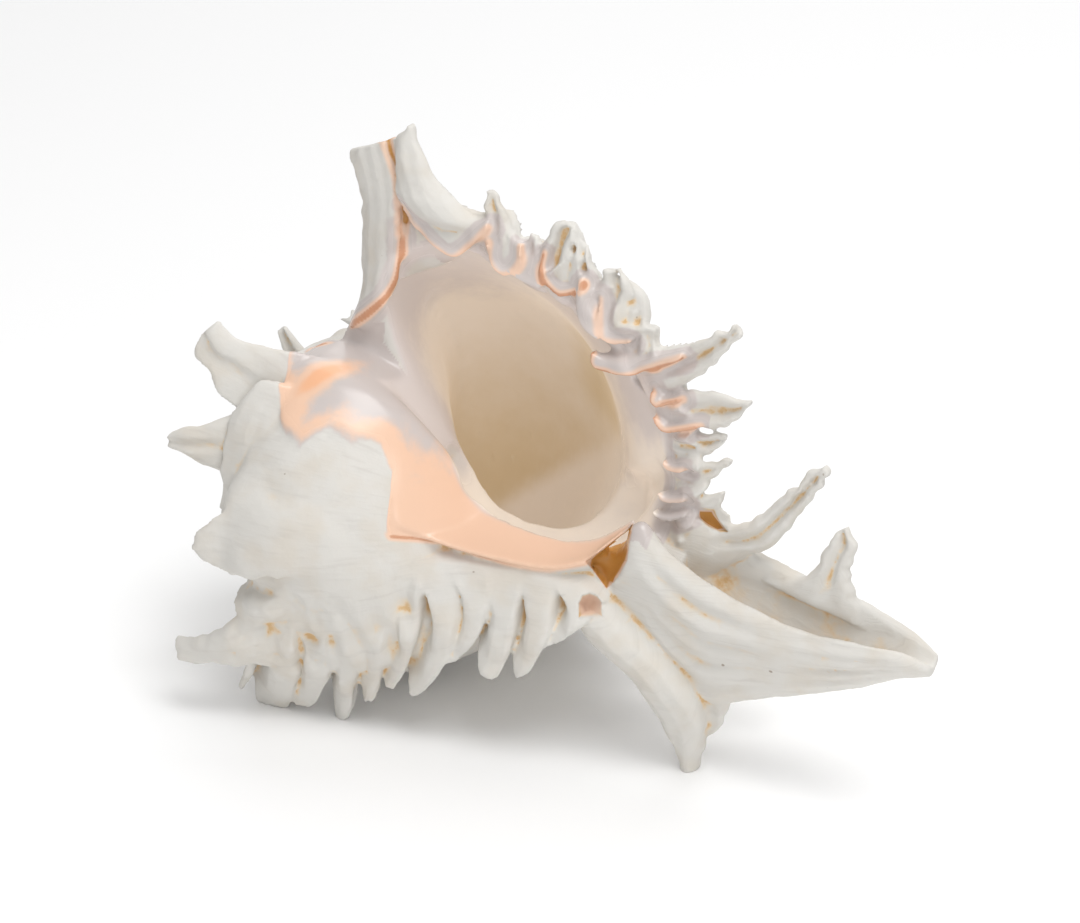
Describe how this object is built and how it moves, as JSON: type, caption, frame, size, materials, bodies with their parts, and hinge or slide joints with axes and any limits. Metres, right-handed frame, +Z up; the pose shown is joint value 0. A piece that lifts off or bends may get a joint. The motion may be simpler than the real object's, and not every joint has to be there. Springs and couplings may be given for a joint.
{
  "type": "murex shell",
  "caption": "Branched murex sea shell lying on its side: coiled body with a wide hollow mouth, frilled lip of leafy spines, spined spire and a long siphonal canal.",
  "frame": {"origin": "middle of the bounding box, on the surface the shell lies on", "axes": "+Z up, +X along the coiling axis from the apex to the tip of the siphonal canal, -Y the way the mouth looks"},
  "size_m": [0.1616, 0.0918, 0.1189],
  "materials": {
    "shell": "chalky cream outside, glossy peach callus round the mouth, tan inside"
  },
  "bodies": {
    "root": {"shell": "shell"}
  },
  "joints": []
}
